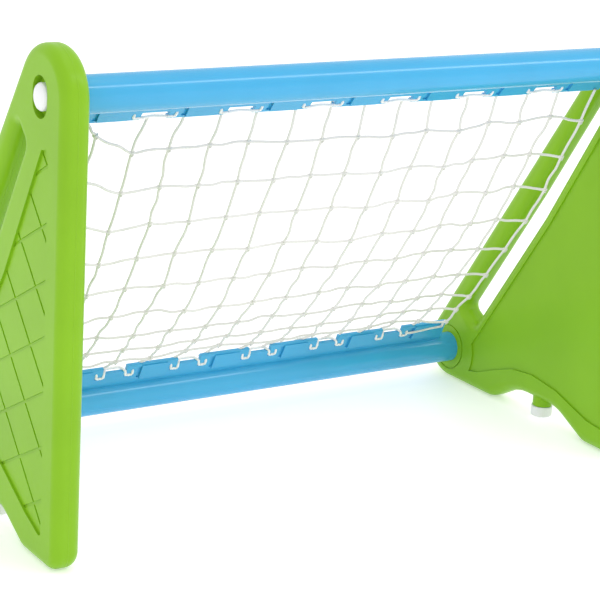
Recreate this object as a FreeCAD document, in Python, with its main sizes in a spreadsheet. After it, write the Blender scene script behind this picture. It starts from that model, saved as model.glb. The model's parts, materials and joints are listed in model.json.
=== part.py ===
import FreeCAD, Part
import math
import os
import re

import Sketcher
from FreeCAD import Placement, Rotation, Vector

# A child's play goal: two hollow side panels, two identical finned bars and a
# knotted net laced between the fins.  Origin under the middle of the goal on
# the floor, +X along the bars, +Y towards the back, +Z up.  Millimetres.

DIMENSIONS = {
    # overall frame
    "inner_half_width": 428,      # from the middle to a panel's inner face
    "panel_thickness": 38,
    "top_axis_back": -174.7,        # top bar's axis, measured from the origin
    "top_axis_rise": 566,
    "axis_setback": 354,          # bottom bar's axis behind the top bar's
    "low_axis_rise": 51.5,
    # outline of a side panel; "back" is measured from the top bar's axis
    "knob_radius": 61,
    "slope_angle": 34,            # rear bar from the vertical, degrees
    "heel_radius": 51,
    "nose_radius": 24,
    "rear_sole_back": 247,
    "front_sole_back": 32,
    "arch_rise": 32,
    "arch_back": 190,
    "arch_front": 96,
    "arch_back_radius": 100,
    "arch_front_radius": 80,
    "rear_sole_radius": 40,
    "front_sole_radius": 30,
    "outer_rim_round": 13,
    "inner_rim_round": 16,
    # long slot between the web and the rear bar, in the slope's own frame
    "slot_near": 40,
    "slot_bend": 300,
    "slot_far": 600,
    "slot_front_top": 3,
    "slot_front_low": -12,
    "slot_rear_top": 31,
    "slot_rear_low": 24.5,
    "slot_end_radius": 75,        # the slot's ends are arcs about the bars' axes
    "slot_corner": 8,
    "slot_round": 15,
    # lattice recess in the outer face
    "recess_depth": 3,
    "recess_front": -24,
    "recess_top": 506,
    "recess_corner": 6,
    "groove_width": 3.8,
    "groove_depth": 1.3,
    "shallow_groove_drop": 75,
    "shallow_groove_angle": 28.3,
    "shallow_groove_pitch": 68.2,
    "steep_groove_drop": 86.4,
    "steep_groove_angle": 47,
    "steep_groove_pitch": 87.7,
    # plain field in the inner face
    "field_depth": 2.5,
    "field_front": -20,
    "knob_disc_radius": 60,
    # hollow inside the panel
    "wall": 4,
    "hollow_skin": 9,
    "slot_wall_gap": 6,
    # round sockets for the bars, and the recesses for the screw heads
    "socket_clearance": 0.15,
    "socket_depth": 16,
    "collar_groove_radius": 34,
    "collar_groove_width": 2.4,
    "head_recess_width": 38,
    "head_recess_height": 50,
    "head_recess_depth": 9,
    "screw_hole_radius": 5,
    # filler neck and cap
    "neck_back": 140,
    "collar_radius": 14.4,
    "collar_drop": 11.4,
    "spigot_radius": 13,
    "spigot_length": 12,
    "neck_bore": 10,
    "cap_radius": 16,
    "cap_height": 15.6,
    "cap_gap": 0.4,
    "cap_corner": 2,
    "cap_rib_radius": 0.8,
    "cap_fit": 0.06,
    "seal_thickness": 2,
    # bars
    "bar_radius": 23,
    "bar_bore": 20.5,
    "fin_tip": 56,
    "fin_thickness": 6,
    "fin_half_length": 401,
    "notch_pitch": 120,
    "notch_width": 38,
    "top_notch_depth": 15,
    "low_notch_depth": 10,
    "finger_width": 8.2,
    "finger_length": 7.5,
    "channel_width": 4.1,
    "arm_width": 3.2,
    "arm_start": 2,
    "stub_length": 4.7,
    "plate_width": 45,
    "plate_height": 23,
    "plate_proud": 1.6,
    "plate_groove_width": 4.5,
    "plate_groove_depth": 1.8,
    "plate_shift": 3.5,
    "top_fin_angle": 43,          # fin's lean from straight down, degrees
    "low_fin_angle": 201,
    # end plugs, screws and washers
    "plug_fit": 0.05,
    "plug_length": 30,
    "screw_radius": 4.5,
    "screw_reach": 40,
    "screw_head_radius": 16.5,
    "screw_head_height": 12,
    "washer_radius": 12,
    "washer_thickness": 1.5,
    # net and its lacing
    "net_half_width": 398,
    "net_thickness": 1.6,
    "net_sag": 27,
    "net_gap": 2,
    "lacing_radius": 1.3,
    "lacing_side": 6.2,
    "lacing_half_length": 395,
}

TABS = 7
LATTICE_LINES = 9
CAP_FLUTES = 36

doc = FreeCAD.newDocument("play_goal")
sheet = doc.addObject("Spreadsheet::Sheet", "Dims")


def fill_sheet():
    for row, (alias, value) in enumerate(DIMENSIONS.items(), start=1):
        sheet.set("A%d" % row, alias)
        sheet.set("B%d" % row, str(value))
        sheet.setAlias("B%d" % row, alias)
    doc.recompute()


fill_sheet()


def dim(alias):
    return float(getattr(sheet, alias))


def expression(text):
    """Every known alias in the text gets the sheet's name before it."""
    return re.sub(r"[a-z_]+", lambda word: "Dims." + word[0] if word[0] in DIMENSIONS else word[0], text)


def bind(thing, prop, text):
    thing.setExpression(prop, expression(text))


def place(thing, back=0.0, rise=0.0, along=0.0, rotation=None):
    thing.Placement = Placement(Vector(along, back, rise), rotation or Rotation())


# ---------------------------------------------------------------- sketches

def origin_plane(body, role):
    return next(plane for plane in body.Origin.OriginFeatures if plane.Role == role)


def new_sketch(body, name, role="YZ_Plane", lift=None):
    sketch = body.newObject("Sketcher::SketchObject", name)
    sketch.AttachmentSupport = [(origin_plane(body, role), "")]
    sketch.MapMode = "FlatFace"
    if lift:
        bind(sketch, "AttachmentOffset.Base.z", lift)
    return sketch


def pin_point(sketch, edge, end, x_text, y_text, guess):
    """Fix one end of an edge by its two distances from the sketch's origin."""
    for kind, text, value in (("DistanceX", x_text, guess.x), ("DistanceY", y_text, guess.y)):
        index = sketch.addConstraint(Sketcher.Constraint(kind, -1, 1, edge, end, value))
        sketch.setExpression("Constraints[%d]" % index, expression(text))


def polygon(sketch, corners):
    """A closed outline whose corners are bound to the sheet."""
    count = len(corners)
    first = sketch.GeometryCount
    start = [Vector(150 * math.cos(2 * math.pi * i / count), 150 * math.sin(2 * math.pi * i / count), 0)
             for i in range(count)]
    for i in range(count):
        sketch.addGeometry(Part.LineSegment(start[i], start[(i + 1) % count]), False)
    for i in range(count):
        nxt = first + (i + 1) % count
        sketch.addConstraint(Sketcher.Constraint("Coincident", first + i, 2, nxt, 1))
    for i, (x_text, y_text) in enumerate(corners):
        pin_point(sketch, first + i, 1, x_text, y_text, start[i])


def circle(sketch, x_text, y_text, radius_text):
    edge = sketch.addGeometry(Part.Circle(Vector(1, 1, 0), Vector(0, 0, 1), 5), False)
    pin_point(sketch, edge, 3, x_text, y_text, Vector(1, 1, 0))
    index = sketch.addConstraint(Sketcher.Constraint("Radius", edge, 5))
    sketch.setExpression("Constraints[%d]" % index, expression(radius_text))


def pad(body, sketch, name, length_text, midplane=False, reverse=False):
    feature = body.newObject("PartDesign::Pad", name)
    feature.Profile = sketch
    feature.Midplane = midplane
    feature.Reversed = reverse
    bind(feature, "Length", length_text)
    return feature


def pocket(body, sketch, name, length_text, midplane=False, reverse=False):
    feature = body.newObject("PartDesign::Pocket", name)
    feature.Profile = sketch
    feature.Midplane = midplane
    feature.Reversed = reverse
    bind(feature, "Length", length_text)
    return feature


def fillet(body, name, radius_text, chosen):
    """Round the edges of the body's tip that the chosen function picks."""
    doc.recompute()
    base = body.Tip
    names = ["Edge%d" % (i + 1) for i, edge in enumerate(base.Shape.Edges) if chosen(edge)]
    if not names:
        raise RuntimeError("no edges for " + name)
    feature = body.newObject("PartDesign::Fillet", name)
    feature.Base = (base, names)
    bind(feature, "Radius", radius_text)
    doc.recompute()
    return feature


def runs_along_x(edge, y, z):
    """A straight edge along X through the point (y, z)."""
    points = [vertex.Point for vertex in edge.Vertexes]
    if len(points) != 2 or abs(points[0].x - points[1].x) < 1:
        return False
    return all(math.hypot(p.y - y, p.z - z) < 0.2 for p in points)


def lies_in_x(edge, x):
    box = edge.BoundBox
    return abs(box.XMin - x) < 1e-3 and abs(box.XMax - x) < 1e-3


# ------------------------------------------------------------- side panels

SLOPE_BACK = "(%s) * sin(slope_angle) + (%s) * cos(slope_angle)"
SLOPE_RISE = "top_axis_rise - (%s) * cos(slope_angle) + (%s) * sin(slope_angle)"


def on_slope(along, across):
    """A corner in the slope's frame: along it from the top axis, and across it."""
    return SLOPE_BACK % (along, across), SLOPE_RISE % (along, across)


def panel_corners(inset="0"):
    """The sharp outline before its corners are rounded, drawn in by an inset."""
    radius = "(knob_radius - %s)" % inset
    apex = "top_axis_rise + %s / tan(slope_angle / 2)" % radius
    tail = ("%s / cos(slope_angle) + (top_axis_rise - %s) * tan(slope_angle)"
            % (radius, inset))
    return [
        ("0 - " + radius, inset),
        ("0 - " + radius, apex),
        (tail, inset),
        ("rear_sole_back + %s * 0.8" % inset, inset),
        ("arch_back + %s * 0.5" % inset, "arch_rise + " + inset),
        ("arch_front - %s * 0.5" % inset, "arch_rise + " + inset),
        ("front_sole_back - %s * 0.8" % inset, inset),
    ]


def panel_outline(name, inset, low, high):
    """The rounded outline as a solid between two depths from the outer face."""
    body = doc.addObject("PartDesign::Body", name)
    sketch = new_sketch(body, name + "_outline", lift=low)
    polygon(sketch, panel_corners(inset))
    pad(body, sketch, name + "_pad", "%s - (%s)" % (high, low))
    doc.recompute()
    radii = ["nose_radius", "knob_radius", "heel_radius", "rear_sole_radius",
             "arch_back_radius", "arch_front_radius", "front_sole_radius"]
    turned_in = [1, 1, 1, 1, -1, -1, 1]
    spots = [(line.StartPoint.x, line.StartPoint.y) for line in sketch.Geometry]
    for index, (radius, sign) in enumerate(zip(radii, turned_in)):
        text = radius + (" - " if sign > 0 else " + ") + inset
        y, z = spots[index]
        fillet(body, "%s_corner_%d" % (name, index), text,
               lambda edge: runs_along_x(edge, y, z))
    return body


def prism(name, corners, low, high, corner=None):
    """A polygonal block between two depths, its upright corners rounded."""
    body = doc.addObject("PartDesign::Body", name)
    sketch = new_sketch(body, name + "_sketch", lift=low)
    polygon(sketch, corners)
    pad(body, sketch, name + "_pad", "%s - (%s)" % (high, low))
    doc.recompute()
    if corner:
        fillet(body, name + "_corners", corner,
               lambda edge: edge.BoundBox.XLength > 0.5)
    return body


def sunk_area(name, corners, low, high):
    """A block to sink a face by, less the raised discs about both bar axes."""
    block = prism(name + "_block", corners, low, high, "recess_corner")
    discs = [cylinder_along_x("%s_%s_disc" % (name, end), "knob_disc_radius", "-9",
                              "panel_thickness + 9", back, rise)
             for end, (back, rise) in BAR_AXES.items()]
    return cut(name + "_area", block, discs)


def slot_corners(grow="0"):
    return [
        on_slope("slot_near", "slot_front_top - " + grow),
        on_slope("slot_bend", "slot_front_low - " + grow),
        on_slope("slot_far", "slot_front_low - " + grow),
        on_slope("slot_far", "slot_rear_low + " + grow),
        on_slope("slot_bend", "slot_rear_low + " + grow),
        on_slope("slot_near", "slot_rear_top + " + grow),
    ]


def slot_solid(name, grow="0"):
    """The slot as a solid, its two ends rounded about the bars' axes."""
    block = prism(name + "_block", slot_corners(grow), "-9", "panel_thickness + 9")
    ends = [cylinder_along_x("%s_%s_end" % (name, end), "slot_end_radius - " + grow, "-19",
                             "panel_thickness + 19", back, rise)
            for end, (back, rise) in BAR_AXES.items()]
    return cut(name, block, ends)


def recess_corners():
    return [
        ("recess_front", "recess_top"),
        on_slope("40", "-38"),
        on_slope("240", "-54"),
        on_slope("535", "-54"),
        ("175", "94"),
        ("92", "89"),
        ("21", "52"),
        ("recess_front", "34"),
    ]


def field_corners():
    return [
        ("field_front", "500"),
        on_slope("60", "-17"),
        on_slope("slot_bend", "slot_front_low - 18"),
        on_slope("550", "slot_front_low - 18"),
        ("306", "60"),
        ("306", "26"),
        ("278", "31"),
        ("231", "50"),
        ("196", "62"),
        ("150", "67"),
        ("92", "60"),
        ("58", "49"),
        ("18", "37"),
        ("field_front", "34"),
    ]


def rounded_outer_solid():
    """The outline with its rims rounded, more on the inner side."""
    body = panel_outline("panel_outer", "0", "0", "panel_thickness")
    thickness = dim("panel_thickness")
    fillet(body, "outer_rim", "outer_rim_round", lambda edge: lies_in_x(edge, 0))
    fillet(body, "inner_rim", "inner_rim_round", lambda edge: lies_in_x(edge, thickness))
    return body


def slotted_solid():
    """The rounded outline with the slot cut through and its edges rounded."""
    thickness = dim("panel_thickness")
    slotted = cut("panel_slotted", rounded_outer_solid(), [slot_solid("slot")])
    doc.recompute()
    upright = rounded("slot_corners", slotted, "slot_corner",
                      lambda edge: in_slot(edge) and edge.BoundBox.XLength > thickness - 1)
    return rounded("slot_rounding", upright, "slot_round",
                   lambda edge: in_slot(edge)
                   and (lies_in_x(edge, 0) or lies_in_x(edge, thickness)))


def rounded(name, base, radius_alias, chosen):
    """A Part fillet of the edges that the chosen function picks."""
    doc.recompute()
    radius = dim(radius_alias)
    edges = [(i + 1, radius, radius) for i, edge in enumerate(base.Shape.Edges) if chosen(edge)]
    if not edges:
        raise RuntimeError("no edges for " + name)
    feature = doc.addObject("Part::Fillet", name)
    feature.Base = base
    feature.Edges = edges
    doc.recompute()
    return feature


def in_slot(edge):
    """True for an edge on the slot's own boundary."""
    middle = edge.CenterOfMass
    angle = math.radians(dim("slope_angle"))
    rise = middle.z - dim("top_axis_rise")
    along = middle.y * math.sin(angle) - rise * math.cos(angle)
    across = middle.y * math.cos(angle) + rise * math.sin(angle)
    inside_ends = dim("slot_end_radius") - 9 < along < dim("slot_far")
    return inside_ends and dim("slot_front_low") - 3 < across < dim("slot_rear_top") + 3


def groove_family(name, sign):
    """Parallel square grooves across the recess floor, one box each."""
    angle, drop = name + "_angle", name + "_drop"
    boxes = []
    for i in range(LATTICE_LINES):
        box = doc.addObject("Part::Box", "%s_%d" % (name, i))
        bind(box, "Length", "groove_depth + 1")
        bind(box, "Width", "1000")
        bind(box, "Height", "groove_width")
        bind(box, "Placement.Base.x", "recess_depth - 1")
        bind(box, "Placement.Base.y", "recess_front - 500 * cos(%s)" % angle)
        bind(box, "Placement.Base.z", "top_axis_rise - %s - %s_pitch * %d - (%d) * 500 * sin(%s)"
             % (drop, name, i, sign, angle))
        box.Placement.Rotation = Rotation(Vector(1, 0, 0), sign * dim(angle))
        boxes.append(box)
    return boxes


def cylinder_along_x(name, radius_text, low_text, high_text, back_text, rise_text):
    solid = doc.addObject("Part::Cylinder", name)
    bind(solid, "Radius", radius_text)
    bind(solid, "Height", "%s - (%s)" % (high_text, low_text))
    solid.Placement.Rotation = Rotation(Vector(0, 1, 0), 90)
    bind(solid, "Placement.Base.x", low_text)
    bind(solid, "Placement.Base.y", back_text)
    bind(solid, "Placement.Base.z", rise_text)
    return solid


def cylinder_along_z(name, radius_text, low_text, high_text, along_text, back_text):
    solid = doc.addObject("Part::Cylinder", name)
    bind(solid, "Radius", radius_text)
    bind(solid, "Height", "%s - (%s)" % (high_text, low_text))
    bind(solid, "Placement.Base.x", along_text)
    bind(solid, "Placement.Base.y", back_text)
    bind(solid, "Placement.Base.z", low_text)
    return solid


def cut(name, base, tools):
    fused = tools[0]
    if len(tools) > 1:
        fused = doc.addObject("Part::MultiFuse", name + "_tools")
        fused.Shapes = tools
    result = doc.addObject("Part::Cut", name)
    result.Base = base
    result.Tool = fused
    return result


def fuse(name, shapes):
    result = doc.addObject("Part::MultiFuse", name)
    result.Shapes = shapes
    result.Refine = True
    return result


BAR_AXES = {"top": ("0", "top_axis_rise"), "low": ("axis_setback", "low_axis_rise")}


def socket_tools():
    """What each bar end needs: socket, screw hole, head recess and collar ring."""
    tools = []
    for name, (back, rise) in BAR_AXES.items():
        tools.append(cylinder_along_x(name + "_socket", "bar_radius + socket_clearance",
                                      "panel_thickness - socket_depth", "panel_thickness + 5", back, rise))
        tools.append(cylinder_along_x(name + "_screw_hole", "screw_hole_radius", "-5",
                                      "panel_thickness", back, rise))
        tools.append(head_recess(name, back, rise))
        ring_out = cylinder_along_x(name + "_ring_out", "collar_groove_radius + collar_groove_width",
                                    "panel_thickness - 1.6", "panel_thickness + 5", back, rise)
        ring_in = cylinder_along_x(name + "_ring_in", "collar_groove_radius",
                                   "panel_thickness - 5", "panel_thickness + 9", back, rise)
        tools.append(cut(name + "_ring", ring_out, [ring_in]))
    return tools


def head_recess(name, back, rise):
    """An upright round-ended recess for the screw's head."""
    half = "(head_recess_height - head_recess_width) / 2"
    pieces = []
    for end, sign in (("up", "+"), ("down", "-")):
        pieces.append(cylinder_along_x("%s_head_%s" % (name, end), "head_recess_width / 2",
                                       "-5", "head_recess_depth", back, "%s %s %s" % (rise, sign, half)))
    box = doc.addObject("Part::Box", name + "_head_middle")
    bind(box, "Length", "head_recess_depth + 5")
    bind(box, "Width", "head_recess_width")
    bind(box, "Height", "head_recess_height - head_recess_width")
    bind(box, "Placement.Base.x", "-5")
    bind(box, "Placement.Base.y", back + " - head_recess_width / 2")
    bind(box, "Placement.Base.z", rise + " - " + half)
    return fuse(name + "_head_recess", pieces + [box])


def panel_hollow():
    """The space inside the moulding, kept clear of slot, sockets and recesses."""
    inner = panel_outline("panel_inner", "wall", "hollow_skin", "panel_thickness - 5.5")
    keep = [slot_solid("slot_wall", "slot_wall_gap")]
    for name, (back, rise) in BAR_AXES.items():
        keep.append(cylinder_along_x(name + "_boss", "bar_radius + 4", "-5",
                                     "panel_thickness + 5", back, rise))
    return cut("panel_hollow", inner, keep)


def side_panel():
    outer = slotted_solid()
    collar = cylinder_along_z("neck_collar", "collar_radius", "arch_rise - collar_drop",
                              "arch_rise + 14", "panel_thickness / 2", "neck_back")
    spigot = cylinder_along_z("neck_spigot", "spigot_radius",
                              "arch_rise - collar_drop - spigot_length", "arch_rise + 14",
                              "panel_thickness / 2", "neck_back")
    solid = fuse("panel_with_neck", [outer, collar, spigot])
    bore = cylinder_along_z("neck_hole", "neck_bore", "0", "arch_rise + 20",
                            "panel_thickness / 2", "neck_back")
    recess = sunk_area("recess", recess_corners(), "-5", "recess_depth")
    field = sunk_area("field", field_corners(), "panel_thickness - field_depth", "panel_thickness + 5")
    floor = sunk_area("recess_floor", recess_corners(), "recess_depth - 1", "recess_depth + groove_depth")
    lines = groove_family("shallow_groove", -1) + groove_family("steep_groove", 1)
    grooves = doc.addObject("Part::MultiFuse", "lattice_lines")
    grooves.Shapes = lines
    lattice = doc.addObject("Part::Common", "lattice")
    lattice.Base = floor
    lattice.Tool = grooves
    shaped = cut("panel_shaped", solid, [recess, field] + socket_tools())
    with_lattice = cut("panel_with_lattice", shaped, [lattice])
    return cut("left_side_panel", with_lattice, [panel_hollow(), bore])


def both_panels():
    left = side_panel()
    left.Label = "left_side_panel"
    bind(left, "Placement.Base.x", "0 - inner_half_width - panel_thickness")
    bind(left, "Placement.Base.y", "top_axis_back")
    right = doc.addObject("Part::Mirroring", "right_side_panel")
    right.Source = left
    right.Normal = Vector(1, 0, 0)
    right.Label = "right_side_panel"
    return [left, right]


# ------------------------------------------------------------------- bars

def fin_corners():
    return [("0 - fin_half_length", "0 - fin_tip"), ("fin_half_length", "0 - fin_tip"),
            ("fin_half_length", "0 - bar_bore - 1"), ("0 - fin_half_length", "0 - bar_bore - 1")]


def notch_middle():
    return "(notch_pitch * %s)" % ((1 - TABS) / 2 + 0.5)


def mirrored_outline(half):
    """A closed outline from its right half, mirrored about the notch's middle."""
    right = [("%s + %s" % (notch_middle(), across), down) for across, down in half]
    left = [("%s - %s" % (notch_middle(), across), down) for across, down in reversed(half)]
    return right + left


def top_notch_corners():
    """A deep notch; beside it a channel runs round a finger left on the fin's root."""
    root = "0 - fin_tip + top_notch_depth"
    edge = "notch_width / 2"
    far = "(notch_width / 2 + finger_width + arm_width)"
    near = "(notch_width / 2 + finger_width)"
    finger = root + " - finger_length"
    floor = finger + " - channel_width"
    return mirrored_outline([(edge, "0 - fin_tip - 2"), (edge, floor), (far, floor),
                             (far, root + " - arm_start"), (near, root + " - arm_start"),
                             (near, finger), (edge, finger), (edge, root)])


def low_notch_corners():
    """A shallow notch; below it a channel runs round a stub left on the tab."""
    root = "0 - fin_tip + low_notch_depth"
    edge = "notch_width / 2"
    far = "(notch_width / 2 + finger_width + arm_width)"
    near = "(notch_width / 2 + finger_width)"
    stub = root + " + stub_length"
    floor = stub + " + channel_width"
    inner = "(notch_width / 2 - arm_width)"
    return mirrored_outline([(edge, "0 - fin_tip - 2"), (edge, stub), (near, stub), (near, root),
                             (far, root), (far, floor), (inner, floor), (inner, root)])


def plate_corners():
    """The raised plate on one tab, a little off the tab's middle."""
    middle = "(notch_pitch * %s + plate_shift)" % ((1 - TABS) / 2)
    left = middle + " - plate_width / 2"
    right = middle + " + plate_width / 2"
    low = "0 - fin_tip + 3"
    high = low + " + plate_height"
    return [(left + " + 2", low), (right + " - 2", low), (right, high), (left, high)]


def plate_groove_corners():
    """A shallow upright groove along the plate's left edge."""
    right = "(notch_pitch * %s + plate_shift - plate_width / 2)" % ((1 - TABS) / 2)
    left = right + " - plate_groove_width"
    low = "0 - fin_tip + 5"
    high = low + " + plate_height - 4"
    return [(left, low), (right + " + 2", low), (right, high), (left, high)]


def repeat_along_x(body, feature, name, count):
    pattern = body.newObject("PartDesign::LinearPattern", name)
    pattern.Originals = [feature]
    pattern.Direction = (origin_plane_axis(body, "X_Axis"), [""])
    bind(pattern, "Length", "notch_pitch * %d" % (count - 1))
    pattern.Occurrences = count
    body.Tip = pattern
    doc.recompute()
    return pattern


def origin_plane_axis(body, role):
    return next(axis for axis in body.Origin.OriginFeatures if axis.Role == role)


def bar(name, angle_alias, back_text, rise_text, notch_outline, groove_face):
    """A hollow tube along X with a notched fin hanging straight down from it."""
    body = doc.addObject("PartDesign::Body", name)
    tube = new_sketch(body, name + "_tube_sketch")
    circle(tube, "0", "0", "bar_radius")
    pad(body, tube, name + "_tube", "2 * (inner_half_width + socket_depth - 1)", midplane=True)
    fin = new_sketch(body, name + "_fin_sketch", "XZ_Plane")
    polygon(fin, fin_corners())
    pad(body, fin, name + "_fin", "fin_thickness", midplane=True)
    doc.recompute()
    tip = dim("fin_tip")
    fillet(body, name + "_fin_edge", "1.5",
           lambda edge: abs(edge.BoundBox.ZMax + tip) < 0.01 and edge.BoundBox.XLength > 10)
    plate = new_sketch(body, name + "_plate_sketch", "XZ_Plane")
    polygon(plate, plate_corners())
    plate_pad = pad(body, plate, name + "_plate", "fin_thickness + 2 * plate_proud", midplane=True)
    doc.recompute()
    repeat_along_x(body, plate_pad, name + "_plates", TABS)
    notch = new_sketch(body, name + "_notch_sketch", "XZ_Plane")
    polygon(notch, notch_outline)
    notch_cut = pocket(body, notch, name + "_notch", "fin_thickness * 4", midplane=True)
    doc.recompute()
    repeat_along_x(body, notch_cut, name + "_notches", TABS - 1)
    groove = new_sketch(body, name + "_groove_sketch", "XZ_Plane",
                        "%s * (fin_thickness / 2 - plate_groove_depth)" % groove_face)
    polygon(groove, plate_groove_corners())
    groove_cut = pocket(body, groove, name + "_groove", "8", reverse=groove_face == "1")
    doc.recompute()
    repeat_along_x(body, groove_cut, name + "_grooves", TABS)
    bore = new_sketch(body, name + "_bore_sketch")
    circle(bore, "0", "0", "bar_bore")
    pocket(body, bore, name + "_bore", "3 * inner_half_width", midplane=True)
    doc.recompute()
    body.Label = name
    bind(body, "Placement.Base.y", back_text)
    bind(body, "Placement.Base.z", rise_text)
    body.Placement.Rotation = Rotation(Vector(1, 0, 0), dim(angle_alias))
    return body


def both_bars():
    return [bar("top_bar", "top_fin_angle", "top_axis_back", "top_axis_rise",
                top_notch_corners(), "1"),
            bar("bottom_bar", "low_fin_angle", "top_axis_back + axis_setback", "low_axis_rise",
                low_notch_corners(), "-1")]


# -------------------------------------------------- plugs, screws, washers

def turned(name, profile):
    """A body turned about the X axis from a half profile of (x, radius) corners."""
    body = doc.addObject("PartDesign::Body", name)
    sketch = new_sketch(body, name + "_profile", "XY_Plane")
    polygon(sketch, profile)
    spin = body.newObject("PartDesign::Revolution", name + "_turned")
    spin.Profile = sketch
    spin.ReferenceAxis = (origin_plane_axis(body, "X_Axis"), [""])
    spin.Angle = 360
    doc.recompute()
    return body


def plug_profile():
    outer = "inner_half_width + socket_depth - 1"
    inner = outer + " - plug_length"
    bore = "screw_radius + plug_fit"
    radius = "bar_bore - plug_fit"
    return [(inner, bore), (outer, bore), (outer, radius + " - 1"), (outer + " - 1", radius),
            (inner + " + 1", radius), (inner, radius + " - 1")]


def screw_profile():
    seat = "inner_half_width + panel_thickness - head_recess_depth + washer_thickness"
    crown = seat + " + screw_head_height"
    head = "screw_head_radius"
    return [(seat + " - screw_reach", "0"), (crown, "0"), (crown + " - 0.5", head + " * 0.4"),
            (crown + " - 1.6", head + " * 0.68"), (crown + " - 3.3", head + " * 0.88"),
            (crown + " - 5.4", head + " * 0.98"), (crown + " - 7", head), (seat, head),
            (seat, "screw_radius"),
            (seat + " - screw_reach + 2", "screw_radius"),
            (seat + " - screw_reach", "screw_radius - 2")]


def washer_profile():
    seat = "inner_half_width + panel_thickness - head_recess_depth"
    return [(seat, "screw_hole_radius"), (seat + " + washer_thickness", "screw_hole_radius"),
            (seat + " + washer_thickness", "washer_radius"), (seat, "washer_radius")]


def at_bar_end(name, profile, side, axis_name):
    body = turned(name, profile)
    back, rise = BAR_AXES[axis_name]
    bind(body, "Placement.Base.y", "top_axis_back + " + back)
    bind(body, "Placement.Base.z", rise)
    if side == "left":
        body.Placement.Rotation = Rotation(Vector(0, 0, 1), 180)
    return body


def plugs():
    made = []
    for axis_name, word in (("top", "top"), ("low", "bottom")):
        for side in ("left", "right"):
            name = "%s_bar_%s_plug" % (word, side)
            body = at_bar_end(name, plug_profile(), side, axis_name)
            body.Label = name
            made.append(body)
    return made


def grouped(name, profile):
    """Four identical turned pieces, one at each bar end, as one group."""
    pieces = []
    for axis_name in BAR_AXES:
        for side in ("left", "right"):
            pieces.append(at_bar_end("%s_%s_%s" % (name, axis_name, side), profile, side, axis_name))
    group = doc.addObject("Part::Compound", name)
    group.Links = pieces
    group.Label = name
    return group


# ------------------------------------------------------ filler caps, seals

def spigot_end():
    return "arch_rise - collar_drop - spigot_length"


def cap_depth():
    """From the cap's rim to its inner floor, just under the seal."""
    return "spigot_length - cap_gap + 0.15 + seal_thickness"


def filler_cap(side, sign):
    """A ribbed cup upside down on the spigot, its rim just under the collar."""
    name = side + "_filler_cap"
    body = doc.addObject("PartDesign::Body", name)
    outside = new_sketch(body, name + "_outside", "XY_Plane")
    circle(outside, "0", "0", "cap_radius")
    pad(body, outside, name + "_pad", "cap_height", reverse=True)
    fillet(body, name + "_corner", "cap_corner", lambda edge: edge.BoundBox.ZMax < -1
           and edge.BoundBox.YLength > 1)
    inside = new_sketch(body, name + "_inside", "XY_Plane")
    circle(inside, "0", "0", "spigot_radius + cap_fit")
    pocket(body, inside, name + "_inside_cut", cap_depth())
    flute = new_sketch(body, name + "_flute", "XY_Plane")
    circle(flute, "cap_radius + cap_rib_radius * 0.4", "0", "cap_rib_radius")
    flute_cut = pocket(body, flute, name + "_flute_cut", "cap_height - cap_corner - 1")
    doc.recompute()
    pattern = body.newObject("PartDesign::PolarPattern", name + "_flutes")
    pattern.Originals = [flute_cut]
    pattern.Axis = (origin_plane_axis(body, "Z_Axis"), [""])
    pattern.Angle = 360
    pattern.Occurrences = CAP_FLUTES
    body.Tip = pattern
    body.Label = name
    bind(body, "Placement.Base.x", "%s * (inner_half_width + panel_thickness / 2)" % sign)
    bind(body, "Placement.Base.y", "top_axis_back + neck_back")
    bind(body, "Placement.Base.z", "arch_rise - collar_drop - cap_gap")
    return body


def filler_seal(side, sign):
    name = side + "_filler_seal"
    along = "%s * (inner_half_width + panel_thickness / 2)" % sign
    top = spigot_end() + " - 0.1"
    seal = cylinder_along_z(name, "spigot_radius - 0.2", top + " - seal_thickness", top,
                            along, "top_axis_back + neck_back")
    seal.Label = name
    return seal


# -------------------------------------------------------- net and lacings

def fin_point(axis_name, reach, sideways=0.0):
    """A point in the plane across the bars: out along a fin, and off its face."""
    if axis_name == "top":
        back, rise, angle = dim("top_axis_back"), dim("top_axis_rise"), dim("top_fin_angle")
    else:
        back = dim("top_axis_back") + dim("axis_setback")
        rise, angle = dim("low_axis_rise"), dim("low_fin_angle")
    turn = math.radians(angle)
    outward = Vector(0, math.sin(turn), -math.cos(turn))
    across = Vector(0, math.cos(turn), math.sin(turn))
    return Vector(0, back, rise) + outward * reach + across * sideways


def net_sheet():
    """The net's outer form: a thin sheet that sags forward between the fins."""
    top = fin_point("top", dim("fin_tip") + dim("net_gap"))
    low = fin_point("low", dim("fin_tip") + dim("net_gap"))
    chord = low - top
    across = Vector(0, chord.z, -chord.y).normalize()
    middle = top + chord * 0.54 + across * dim("net_sag")
    step = across * dim("net_thickness")
    front = Part.Arc(top + step, middle + step, low + step).toShape()
    rear = Part.Arc(low, middle, top).toShape()
    ends = [Part.LineSegment(low + step, low).toShape(), Part.LineSegment(top, top + step).toShape()]
    wire = Part.Wire([front, ends[0], rear, ends[1]])
    width = dim("net_half_width")
    solid = Part.Face(wire).extrude(Vector(2 * width, 0, 0))
    net = doc.addObject("Part::Feature", "net")
    net.Shape = solid
    net.Label = "net"
    place(net, along=-width)
    return net


def lacing_route():
    """Corner points of the top lacing: behind each tab, and through its channels."""
    channel = dim("fin_tip") - dim("top_notch_depth") + dim("finger_length") + dim("channel_width") / 2
    half_notch, end = dim("notch_width") / 2, dim("lacing_half_length")
    behind = fin_point("top", channel, dim("lacing_side"))
    between = fin_point("top", channel)
    route = [behind + Vector(-end, 0, 0)]
    for i in range(TABS - 1):
        middle = dim("notch_pitch") * (i - (TABS - 2) / 2)
        route.append(behind + Vector(middle - half_notch - 12, 0, 0))
        route.append(between + Vector(middle - half_notch - 4, 0, 0))
        route.append(between + Vector(middle + half_notch + 4, 0, 0))
        route.append(behind + Vector(middle + half_notch + 12, 0, 0))
    route.append(behind + Vector(end, 0, 0))
    return route


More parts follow.
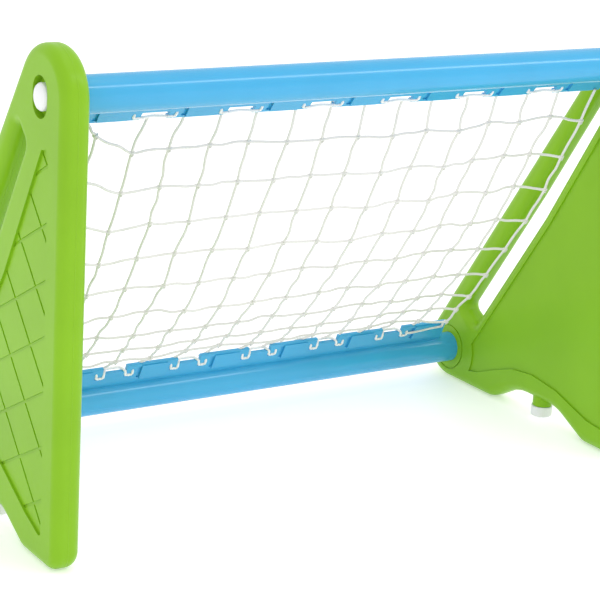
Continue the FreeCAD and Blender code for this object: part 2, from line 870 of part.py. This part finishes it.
def rounded_path(points, share=0.45):
    """Straight runs joined by tangent arcs at the corner points."""
    edges = []
    last = points[0]
    for before, corner, after in zip(points, points[1:], points[2:]):
        inward = (before - corner).normalize()
        outward = (after - corner).normalize()
        reach = share * min((before - corner).Length, (after - corner).Length)
        turn = math.pi - inward.getAngle(outward)
        radius = reach / math.tan(turn / 2)
        bisector = (inward + outward).normalize()
        centre = corner + bisector * (radius / math.cos(turn / 2))
        start, finish = corner + inward * reach, corner + outward * reach
        edges.append(Part.LineSegment(last, start).toShape())
        edges.append(Part.Arc(start, centre - bisector * radius, finish).toShape())
        last = finish
    edges.append(Part.LineSegment(last, points[-1]).toShape())
    return Part.Wire(edges)


def top_lacing():
    path = rounded_path(lacing_route())
    radius = dim("lacing_radius")
    ring = Part.Wire(Part.Circle(path.Vertexes[0].Point, Vector(1, 0, 0), radius).toShape())
    solid = path.makePipeShell([ring], True, False)
    expected = math.pi * radius ** 2 * path.Length
    if abs(solid.Volume / expected - 1) > 0.02:
        raise RuntimeError("the top lacing has the wrong volume")
    cord = doc.addObject("Part::Feature", "top_lacing_cord")
    cord.Shape = solid
    cord.Label = "top_lacing_cord"
    place(cord)
    return cord


def bottom_lacing():
    """A straight cord along the fin's rear face, just above the notches' floors."""
    height = dim("fin_tip") - dim("low_notch_depth") + 2
    start = fin_point("low", height, -dim("lacing_side"))
    cord = cylinder_along_x("bottom_lacing_cord", "lacing_radius", "0 - lacing_half_length",
                            "lacing_half_length", str(start.y), str(start.z))
    cord.Label = "bottom_lacing_cord"
    return cord


# ------------------------------------------------------------------ output

def check(thing):
    if "Invalid" in thing.State or "Error" in thing.State:
        raise RuntimeError("%s is %s" % (thing.Name, thing.State))


def write(parts):
    doc.recompute()
    for thing in doc.Objects:
        check(thing)
    os.makedirs("parts", exist_ok=True)
    for thing in parts:
        shape = thing.Shape
        if shape.isNull() or not shape.isValid():
            raise RuntimeError(thing.Label + " has no valid shape")
        shape.exportStep("parts/%s.step" % thing.Label)
        box = shape.BoundBox
        print("%-24s solids %d volume %9.0f  x %.1f %.1f  y %.1f %.1f  z %.1f %.1f" % (
            thing.Label, len(shape.Solids), shape.Volume,
            box.XMin, box.XMax, box.YMin, box.YMax, box.ZMin, box.ZMax))


parts = both_panels() + both_bars() + plugs()
parts.append(grouped("bar_screws", screw_profile()))
parts.append(grouped("screw_washers", washer_profile()))
for side, sign in (("left", "-1"), ("right", "1")):
    parts.append(filler_cap(side, sign))
    parts.append(filler_seal(side, sign))
parts.append(net_sheet())
parts.append(top_lacing())
parts.append(bottom_lacing())
write(parts)
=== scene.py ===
import json
import math
import random

import bpy
from mathutils import Matrix, Vector


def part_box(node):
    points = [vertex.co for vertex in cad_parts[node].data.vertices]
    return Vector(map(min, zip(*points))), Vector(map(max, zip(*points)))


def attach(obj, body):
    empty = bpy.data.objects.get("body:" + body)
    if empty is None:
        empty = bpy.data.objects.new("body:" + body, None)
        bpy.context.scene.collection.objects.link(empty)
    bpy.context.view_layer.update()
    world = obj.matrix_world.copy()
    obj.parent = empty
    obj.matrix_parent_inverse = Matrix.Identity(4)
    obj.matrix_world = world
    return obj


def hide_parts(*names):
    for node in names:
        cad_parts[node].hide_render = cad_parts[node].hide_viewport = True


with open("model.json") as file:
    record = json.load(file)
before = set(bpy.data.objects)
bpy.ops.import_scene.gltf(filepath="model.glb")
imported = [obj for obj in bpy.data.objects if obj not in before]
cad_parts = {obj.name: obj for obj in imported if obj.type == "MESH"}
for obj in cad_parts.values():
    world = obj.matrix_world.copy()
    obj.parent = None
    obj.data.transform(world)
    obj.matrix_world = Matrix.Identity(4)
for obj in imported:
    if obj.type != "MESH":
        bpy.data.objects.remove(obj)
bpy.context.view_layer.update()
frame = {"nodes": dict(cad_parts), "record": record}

BODY = "goal_frame"
MM = 0.001
PANEL_MIDDLE = 447 * MM       # a side panel's middle plane, from the goal's

# the two bars: how far their fins lean from straight down, about +X, and their notches
FIN_ANGLE = {"top": math.radians(43), "bottom": math.radians(201)}
FIN_HALF_LENGTH = 401 * MM
NOTCH_PITCH = 120 * MM
NOTCHES = 6
FRONT_SIDE = {"top": -1, "bottom": 1}     # the face of each fin that looks forward

# the net: knots in columns across the goal and rows from bar to bar
COLUMNS = 15
ROW_STEPS = [0.11] + [0.122] * 5 + [0.10, 0.08, 0.06, 0.04]    # shares of a column's drop
CORD_RADIUS = 1.85 * MM
NET_SEED = 7


def bar_axis(end):
    """The middle line of a bar, as its y and z."""
    low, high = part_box(end + "_bar_left_plug")
    return (low.y + high.y) / 2, (low.z + high.z) / 2


def fin_point(end, x, reach, aside=0.0):
    """A point out along a bar's fin, at a distance off the fin's middle plane."""
    y, z = bar_axis(end)
    turn = FIN_ANGLE[end]
    outward = Vector((0, math.sin(turn), -math.cos(turn)))
    across = Vector((0, math.cos(turn), math.sin(turn)))
    return Vector((x, y, z)) + outward * reach + across * aside


# ------------------------------------------------------------------ camera

CAMERA_PLACE = (-1.4215, -2.1579, 0.9881)
CAMERA_YAW = math.radians(33.33)      # from +Y towards +X
CAMERA_PITCH = math.radians(16.84)    # downwards
CAMERA_ROLL = math.radians(3.32)
CAMERA_LENS = 117.5
CAMERA_SHIFT = (0.0237, 0.0227)


def make_camera():
    """Long lens, low and to the left of the goal's front."""
    yaw, pitch, roll = CAMERA_YAW, CAMERA_PITCH, CAMERA_ROLL
    level_part = math.cos(pitch)
    forward = Vector((math.sin(yaw) * level_part, math.cos(yaw) * level_part, -math.sin(pitch)))
    level = Vector((math.cos(yaw), -math.sin(yaw), 0))
    upright = level.cross(forward)
    right = level * math.cos(roll) + upright * math.sin(roll)
    up = upright * math.cos(roll) - level * math.sin(roll)
    data = bpy.data.cameras.new("camera")
    data.sensor_width = 36
    data.lens = CAMERA_LENS
    data.shift_x, data.shift_y = CAMERA_SHIFT
    data.clip_end = 60
    data.dof.use_dof = False
    camera = bpy.data.objects.new("camera", data)
    turn = Matrix((right, up, -forward)).transposed().to_4x4()
    camera.matrix_world = Matrix.Translation(CAMERA_PLACE) @ turn
    bpy.context.scene.collection.objects.link(camera)
    bpy.context.scene.camera = camera


# --------------------------------------------------------------- materials

class Nodes:
    """Short calls for building a node material."""

    def __init__(self, name, colour, roughness):
        self.material = bpy.data.materials.new(name)
        self.material.use_nodes = True
        self.tree = self.material.node_tree
        self.shader = self.tree.nodes["Principled BSDF"]
        self.shader.inputs["Base Color"].default_value = (*colour, 1)
        self.shader.inputs["Roughness"].default_value = roughness
        self.colour = colour
        self.last_normal = None

    def add(self, kind, **settings):
        node = self.tree.nodes.new(kind)
        for key, value in settings.items():
            if key in node.inputs:
                node.inputs[key].default_value = value
            else:
                setattr(node, key, value)
        return node

    def link(self, source, target):
        self.tree.links.new(source, target)

    def place(self):
        return self.add("ShaderNodeTexCoord").outputs["Object"]

    def noise(self, scale, detail):
        node = self.add("ShaderNodeTexNoise", Scale=scale, Detail=detail)
        self.link(self.place(), node.inputs["Vector"])
        return node.outputs["Fac"]

    def spread(self, value, low, high, from_low=0.3, from_high=0.7):
        node = self.add("ShaderNodeMapRange")
        node.inputs["From Min"].default_value = from_low
        node.inputs["From Max"].default_value = from_high
        node.inputs["To Min"].default_value = low
        node.inputs["To Max"].default_value = high
        self.link(value, node.inputs["Value"])
        return node.outputs["Result"]

    def math(self, operation, first, second=None):
        node = self.add("ShaderNodeMath", operation=operation)
        for index, value in enumerate((first, second)):
            if value is None:
                continue
            if isinstance(value, (int, float)):
                node.inputs[index].default_value = value
            else:
                self.link(value, node.inputs[index])
        return node.outputs[0]

    def bump(self, height, distance, strength):
        node = self.add("ShaderNodeBump", Strength=strength, Distance=distance)
        self.link(height, node.inputs["Height"])
        if self.last_normal:
            self.link(self.last_normal, node.inputs["Normal"])
        self.last_normal = node.outputs["Normal"]
        self.link(self.last_normal, self.shader.inputs["Normal"])

    def tint(self, share, darker, lighter):
        """The base colour drifts between two shades of itself."""
        node = self.add("ShaderNodeMix", data_type="RGBA")
        colour_a, colour_b = node.inputs[6], node.inputs[7]
        colour_a.default_value = (*[c * darker for c in self.colour], 1)
        colour_b.default_value = (*[min(1, c * lighter) for c in self.colour], 1)
        self.link(share, node.inputs["Factor"])
        self.link(node.outputs[2], self.shader.inputs["Base Color"])


def moulded_plastic(name, colour, roughness, seam_at=None, ripple=0.25, gloss=0.4):
    """Blow-moulded polythene: slow ripples of the wall, a fine tool grain, a parting line."""
    nodes = Nodes(name, colour, roughness)
    nodes.shader.inputs["IOR"].default_value = 1.5
    nodes.shader.inputs["Specular IOR Level"].default_value = gloss
    nodes.shader.inputs["Subsurface Weight"].default_value = 0.12
    nodes.shader.inputs["Subsurface Radius"].default_value = (0.004, 0.004, 0.003)
    nodes.shader.inputs["Subsurface Scale"].default_value = 1.0
    nodes.tint(nodes.spread(nodes.noise(9, 3), 0, 1), 0.95, 1.04)
    rough = nodes.spread(nodes.noise(140, 3), roughness - 0.03, roughness + 0.04)
    nodes.link(rough, nodes.shader.inputs["Roughness"])
    nodes.bump(nodes.noise(14, 1), 1.2 * MM, ripple)
    nodes.bump(nodes.noise(1400, 2), 0.04 * MM, 0.2)
    if seam_at:
        axis = nodes.add("ShaderNodeSeparateXYZ")
        nodes.link(nodes.place(), axis.inputs[0])
        off_middle = nodes.math("ABSOLUTE", axis.outputs["X"])
        away = nodes.math("ABSOLUTE", nodes.math("SUBTRACT", off_middle, seam_at))
        ridge = nodes.spread(away, 1, 0, 0.25 * MM, 0.7 * MM)
        nodes.bump(ridge, 0.25 * MM, 0.8)
    return nodes.material


PLIES = 3
PLY_PITCH = 8 * MM


def cord_material(name, colour):
    """Soft twisted cord: painted shade in the grooves between its plies, a fine fuzz of random tone."""
    nodes = Nodes(name, colour, 0.85)
    nodes.shader.inputs["Sheen Weight"].default_value = 0.25
    nodes.shader.inputs["Sheen Roughness"].default_value = 0.5
    uv = nodes.add("ShaderNodeTexCoord").outputs["UV"]
    parts = nodes.add("ShaderNodeSeparateXYZ")
    nodes.link(uv, parts.inputs[0])
    along = nodes.math("MULTIPLY", parts.outputs["X"], 1 / PLY_PITCH)
    turns = nodes.math("ADD", along, parts.outputs["Y"])
    ply = nodes.math("ABSOLUTE", nodes.math("SINE", nodes.math("MULTIPLY", turns, PLIES * math.pi)))
    fibre = nodes.noise(2600, 3)
    # painted shade: the base colour darkens in the grooves between the plies, times a random fibre tone
    ply_shade_and_fibre_tone = nodes.math("MULTIPLY", nodes.spread(ply, 0.35, 1, 0, 0.5), nodes.spread(fibre, 0.8, 1))
    nodes.tint(ply_shade_and_fibre_tone, 0.8, 1.0)
    nodes.bump(ply, 0.25 * MM, 0.7)
    nodes.bump(fibre, 0.1 * MM, 0.5)
    return nodes.material


def rubber_material(name, colour):
    """Matt rubber with a fine grain and a slight mottle."""
    nodes = Nodes(name, colour, 0.7)
    nodes.tint(nodes.spread(nodes.noise(300, 2), 0, 1), 0.8, 1.3)
    nodes.bump(nodes.noise(1800, 2), 0.05 * MM, 0.5)
    return nodes.material


def dress_cad(materials):
    """Give every carried-over CAD node the material of its record slot."""
    for part in frame["record"]["subparts"]:
        node = frame["nodes"][part["node"]]
        node.data.materials.clear()
        node.data.materials.append(materials[part["material_slot"]])


# -------------------------------------------------------------- cord meshes

class CordMesh:
    """Collects twisted tubes that become one mesh, with UVs in metres along the cord."""

    SIDES = 8
    TWIST_PITCH = 9 * MM
    FLATNESS = 0.10

    def __init__(self):
        self.points = []
        self.faces = []
        self.uvs = []

    def tube(self, path, radius=CORD_RADIUS, step=1.7 * MM):
        """Adds a tube round the path, its section a slightly flattened circle that turns."""
        path = even_steps(path, step)
        first = len(self.points)
        sides = self.SIDES
        side = None
        travelled = 0.0
        for i, point in enumerate(path):
            ahead = (path[min(i + 1, len(path) - 1)] - path[max(i - 1, 0)]).normalized()
            side = ahead.orthogonal() if side is None else side - ahead * side.dot(ahead)
            side.normalize()
            up = ahead.cross(side)
            if i:
                travelled += (point - path[i - 1]).length
            turn = travelled / self.TWIST_PITCH * 2 * math.pi
            for k in range(sides):
                angle = 2 * math.pi * k / sides
                r = radius * (1 + self.FLATNESS * math.cos(2 * (angle - turn)))
                outward = side * math.cos(angle) + up * math.sin(angle)
                self.points.append(point + outward * r)
        rings = len(path)
        length = travelled / (rings - 1)
        for i in range(rings - 1):
            for k in range(sides):
                n = (k + 1) % sides
                a, b = first + i * sides, first + (i + 1) * sides
                self.faces.append((a + k, a + n, b + n, b + k))
                u0, u1, v0, v1 = i * length, (i + 1) * length, k / sides, (k + 1) / sides
                self.uvs += [(u0, v0), (u0, v1), (u1, v1), (u1, v0)]
        self.cap(first, reverse=True)
        self.cap(first + (rings - 1) * sides, reverse=False)

    def cap(self, first, reverse):
        ring = list(range(first, first + self.SIDES))
        self.faces.append(tuple(reversed(ring)) if reverse else tuple(ring))
        self.uvs += [(0, k / self.SIDES) for k in range(self.SIDES)]

    def build(self, name, material):
        mesh = bpy.data.meshes.new(name)
        mesh.from_pydata(self.points, [], self.faces)
        layer = mesh.uv_layers.new(name="UVMap")
        layer.data.foreach_set("uv", [c for uv in self.uvs for c in uv])
        mesh.shade_smooth()
        mesh.materials.append(material)
        thing = bpy.data.objects.new(name, mesh)
        bpy.context.scene.collection.objects.link(thing)
        return thing


def even_steps(path, step):
    """The same line with points about one step apart."""
    made = [path[0]]
    for a, b in zip(path, path[1:]):
        count = max(1, round((b - a).length / step))
        made += [a.lerp(b, i / count) for i in range(1, count + 1)]
    return made


def rounded_line(points, cut, pieces=4):
    """Straight runs with each corner turned on a small curve."""
    made = [points[0]]
    for before, here, after in zip(points, points[1:], points[2:]):
        short = min(cut, (before - here).length / 2, (after - here).length / 2)
        enter = here + (before - here).normalized() * short
        leave = here + (after - here).normalized() * short
        for i in range(pieces + 1):
            t = i / pieces
            made.append(enter.lerp(here, t).lerp(here.lerp(leave, t), t))
    return made + [points[-1]]


def smooth_line(points, pieces=6):
    """A Catmull-Rom curve through the points."""
    ends = [points[0] * 2 - points[1], *points, points[-1] * 2 - points[-2]]
    made = [points[0]]
    for a, b, c, d in zip(ends, ends[1:], ends[2:], ends[3:]):
        for i in range(1, pieces + 1):
            t = i / pieces
            made.append(0.5 * (2 * b + (c - a) * t + (2 * a - 5 * b + 4 * c - d) * t * t
                               + (3 * b - a - 3 * c + d) * t ** 3))
    return made


# ------------------------------------------------------------------ lacing

LACING_RADIUS = 2.0 * MM
LACING_BEHIND = 6.2 * MM
LOOP_PROUD = 3.0 * MM
CHANNEL_REACH = {"top": 50.55 * MM, "bottom": 39.25 * MM}
ARM_REACH = {"top": 43.5 * MM, "bottom": 47 * MM}
BEHIND_REACH = {"top": 50.55 * MM, "bottom": 48 * MM}
INNER_ARM = 17.4 * MM         # along the bar from a notch's middle
OUTER_ARM = 28.8 * MM
LOOP_EXIT = 7 * MM            # from a finger's outer arm to where the cord lies behind its tab
END_INSET = 6 * MM            # from a fin's end to the lacing's end
HALF_CROSSING = 12 * MM       # half the lacing's straight run behind a lower notch
NOTCH_DROOP = 1.6 * MM


def notch_middles():
    """How far along a bar each notch's middle is."""
    return [NOTCH_PITCH * (i - (NOTCHES - 1) / 2) for i in range(NOTCHES)]


def finger_loop(end, middle, way):
    """The lacing's turn round one finger, from the notch out to the back of the tab."""
    front = FRONT_SIDE[end]
    arm, floor = ARM_REACH[end], CHANNEL_REACH[end]
    inner, outer = middle + way * INNER_ARM, middle + way * OUTER_ARM
    start = floor if end == "top" else arm
    return [fin_point(end, inner, start, front * LOOP_PROUD),
            fin_point(end, inner, floor, front * LOOP_PROUD),
            fin_point(end, (inner + outer) / 2, floor, front * LOOP_PROUD),
            fin_point(end, outer, floor, front * LOOP_PROUD),
            fin_point(end, outer, arm, front * LOOP_PROUD),
            fin_point(end, outer + way * MM, arm, -front * LACING_BEHIND / 2),
            fin_point(end, outer + way * LOOP_EXIT, BEHIND_REACH[end], -front * LACING_BEHIND)]


def lacing_line(end):
    """Corners of the whole lacing: behind the tabs, round both fingers of each notch."""
    behind = -FRONT_SIDE[end] * LACING_BEHIND
    line = [fin_point(end, END_INSET - FIN_HALF_LENGTH, BEHIND_REACH[end], behind)]
    for middle in notch_middles():
        line += reversed(finger_loop(end, middle, -1))
        if end == "top":
            line.append(fin_point(end, middle, CHANNEL_REACH[end] + NOTCH_DROOP))
        else:
            line.append(fin_point(end, middle - HALF_CROSSING, BEHIND_REACH[end], behind))
            line.append(fin_point(end, middle + HALF_CROSSING, BEHIND_REACH[end], behind))
        line += finger_loop(end, middle, 1)
    line.append(fin_point(end, FIN_HALF_LENGTH - END_INSET, BEHIND_REACH[end], behind))
    return line


def lacing_place(end, x):
    """Where a cord of the net meets the lacing at x."""
    away = min(abs(x - middle) for middle in notch_middles())
    behind = -FRONT_SIDE[end] * LACING_BEHIND
    if end == "top" and away < INNER_ARM:
        return fin_point(end, x, CHANNEL_REACH[end] + NOTCH_DROOP)
    return fin_point(end, x, BEHIND_REACH[end], behind)


def make_lacing(end, material):
    """One lacing cord, in place of its plain CAD solid."""
    cord = CordMesh()
    cord.tube(rounded_line(lacing_line(end), 4 * MM), LACING_RADIUS, 1.2 * MM)
    thing = cord.build(end + "_lacing", material)
    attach(thing, BODY)
    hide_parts(end + "_lacing_cord")


# --------------------------------------------------------------------- net

NET_LEFT = -378 * MM          # the first column one mesh down
NET_PITCH = 54.8 * MM
BAR_LEFT = -306 * MM          # where the second column meets the bars
BAR_PITCH = 53.3 * MM
CORNER = 391 * MM
CORNER_PROUD = 5 * MM
SAG = 25 * MM
MIDDLE_SHIFT = 12 * MM        # the net hangs a little to the right
LOW_SHIFT = 22 * MM
LEFT_LIFT = 0.08              # the left border is drawn up to the top corner
ROW_DROOP = 0.02              # each row hangs lower in its middle
TAIL_PROUD = 4.6 * MM
KNOT_WANDER = 2.2 * MM
KNOT_TURNS = 1.25
KNOT_POINTS = 18
KNOT_RING = 1.3 * CORD_RADIUS
KNOT_LENGTH = 2.6 * CORD_RADIUS
KNOT_CORD_RADIUS = 0.8 * CORD_RADIUS
CORD_WAVE = 1.6 * MM


def bar_place(end, column):
    """Where a column of the net meets a bar's lacing."""
    if column == 0:
        return corner_place(end, -1)
    if column == COLUMNS - 1:
        return corner_place(end, 1)
    return lacing_place(end, BAR_LEFT + BAR_PITCH * (column - 1))


def corner_place(end, way):
    """Where a side border of the net is drawn to, on the front of a fin's end."""
    return fin_point(end, way * CORNER, BEHIND_REACH[end], FRONT_SIDE[end] * CORNER_PROUD)


def free_x(column, down):
    """How far along the goal a column hangs, at a share of the way down."""
    across = column / (COLUMNS - 1)
    x = NET_LEFT + NET_PITCH * column + MIDDLE_SHIFT * 4 * across * (1 - across)
    return x + LOW_SHIFT * min(1, 1.6 * down) * (1 - across ** 6)


def hung_share(column, down):
    """How far down its column a knot hangs, as a share of the column."""
    across = column / (COLUMNS - 1)
    if column == 0:
        return down - LEFT_LIFT * (1 - down)
    return down + ROW_DROOP * (4 * across * (1 - across) - 0.6) * (1 - down)


def net_knots(rng):
    """Knot positions by column and row, sagging forward and down between the bars."""
    y0, z0 = bar_axis("top")
    y1, z1 = bar_axis("bottom")
    chord = Vector((0, y1 - y0, z1 - z0)).normalized()
    sag_way = Vector((0, chord.z, -chord.y))
    knots = []
    for column in range(COLUMNS):
        top, low = bar_place("top", column), bar_place("bottom", column)
        line = [top]
        down = 0
        for step in ROW_STEPS[:-1]:
            down += step
            share = hung_share(column, down)
            point = top.lerp(low, share) + sag_way * (SAG * 4 * share * (1 - share))
            point.x = free_x(column, down)
            line.append(point + Vector([rng.uniform(-1, 1) * KNOT_WANDER for _ in range(3)]))
        line.append(low)
        knots.append(line)
    return knots


def wavy_line(points, rng):
    """A slack cord through its knots, with a small bend of its own in each mesh."""
    made = [points[0]]
    for a, b in zip(points, points[1:]):
        for share in (0.33, 0.67):
            bend = Vector([rng.uniform(-1, 1) * CORD_WAVE for _ in range(3)])
            made.append(a.lerp(b, share) + bend)
        made.append(b)
    return smooth_line(made)


def add_knot(cord, centre, along, across):
    """One turn of the row's cord round the column's cord."""
    along = along.normalized()
    across = (across - along * across.dot(along)).normalized()
    normal = along.cross(across)
    path = []
    for i in range(KNOT_POINTS + 1):
        share = i / KNOT_POINTS
        angle = 2 * math.pi * KNOT_TURNS * share
        lift = (share - 0.5) * KNOT_LENGTH
        outward = across * math.cos(angle) + normal * math.sin(angle)
        path.append(centre + outward * KNOT_RING + along * lift)
    cord.tube(path, KNOT_CORD_RADIUS, 1.0 * MM)


def corner_tail(end, way):
    """The border cord's end, drawn across the end tab to the last finger."""
    front = FRONT_SIDE[end] * TAIL_PROUD
    reach = ARM_REACH[end]
    corner = corner_place(end, way)
    finger = way * (NOTCH_PITCH * (NOTCHES - 1) / 2 + OUTER_ARM)
    middle = (corner.x + finger) / 2
    return smooth_line([
        corner,
        fin_point(end, middle + way * 12 * MM, reach, front),
        fin_point(end, middle - way * 9 * MM, reach - 2 * MM, front),
        fin_point(end, finger, reach - 3 * MM, front),
        fin_point(end, finger, reach),
    ])


def make_net(material):
    """The whole net: column and row cords, knots, and the two lower tails."""
    rng = random.Random(NET_SEED)
    knots = net_knots(rng)
    rows = len(ROW_STEPS)
    cord = CordMesh()
    for line in knots:
        cord.tube(wavy_line(line, rng))
    for row in range(1, rows):
        cord.tube(wavy_line([line[row] for line in knots], rng))
    for column, line in enumerate(knots):
        left = knots[max(column - 1, 0)]
        right = knots[min(column + 1, COLUMNS - 1)]
        for row in range(1, rows):
            add_knot(cord, line[row], line[row + 1] - line[row - 1], right[row] - left[row])
    for way in (-1, 1):
        cord.tube(corner_tail("bottom", way))
    net = cord.build("net_mesh", material)
    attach(net, BODY)
    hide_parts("net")


# ------------------------------------------------------------------- stage

def make_stage():
    """A pale floor that runs out of sight, and plain soft studio light."""
    mesh = bpy.data.meshes.new("floor")
    half = 14
    corners = [(-half, -half, 0), (half, -half, 0), (half, half, 0), (-half, half, 0)]
    mesh.from_pydata(corners, [], [(0, 1, 2, 3)])
    floor = bpy.data.objects.new("floor", mesh)
    floor.location.z = -0.2 * MM
    bpy.context.scene.collection.objects.link(floor)
    nodes = Nodes("floor_paint", (0.90, 0.90, 0.90), 0.5)
    nodes.shader.inputs["Emission Color"].default_value = (1, 1, 1, 1)
    nodes.shader.inputs["Emission Strength"].default_value = 0.36
    nodes.tint(nodes.spread(nodes.noise(2, 2), 0, 1), 0.99, 1.0)
    mesh.materials.append(nodes.material)
    world = bpy.data.worlds.new("studio")
    world.use_nodes = True
    background = world.node_tree.nodes["Background"]
    background.inputs["Color"].default_value = (1, 1, 1, 1)
    background.inputs["Strength"].default_value = 1.0
    bpy.context.scene.world = world
    area_light("left", (-3.2, -0.6, 1.6), 2.0, 2.0, 2)
    area_light("strip", (1.9, -2.1, 2.8), 3.2, 0.3, 26)
    area_light("top", (0.1, -0.4, 2.9), 1.4, 1.4, 5)


def area_light(name, place, length, width, power):
    """A rectangular lamp aimed at the goal's middle, its length as near X as it can be."""
    data = bpy.data.lights.new(name, "AREA")
    data.shape = "RECTANGLE"
    data.size = length
    data.size_y = width
    data.energy = power
    light = bpy.data.objects.new(name, data)
    away = (Vector(place) - Vector((0, 0, 0.3))).normalized()
    level = (Vector((1, 0, 0)) - away * away.x).normalized()
    turn = Matrix((level, away.cross(level), away)).transposed().to_4x4()
    light.matrix_world = Matrix.Translation(place) @ turn
    bpy.context.scene.collection.objects.link(light)


make_camera()
make_stage()
bpy.context.scene.view_settings.view_transform = "Standard"

materials = {
    "green_plastic": moulded_plastic("green_polythene", (0.230, 0.475, 0.014), 0.32,
                                     seam_at=PANEL_MIDDLE, gloss=0.2),
    "blue_plastic": moulded_plastic("blue_polythene", (0.048, 0.39, 0.69), 0.2, ripple=0.05, gloss=0.5),
    "white_plastic": moulded_plastic("white_plastic", (0.82, 0.83, 0.84), 0.32, ripple=0.05),
    "inner_plastic": moulded_plastic("inner_plastic", (0.65, 0.65, 0.63), 0.5, ripple=0.05),
    "seal_rubber": rubber_material("seal_rubber", (0.04, 0.04, 0.045)),
    "net_cord": cord_material("net_cord", (0.80, 0.79, 0.765)),
    "lacing_cord": cord_material("lacing_cord", (0.93, 0.93, 0.92)),
}
dress_cad(materials)
make_lacing("top", materials["lacing_cord"])
make_lacing("bottom", materials["lacing_cord"])
make_net(materials["net_cord"])
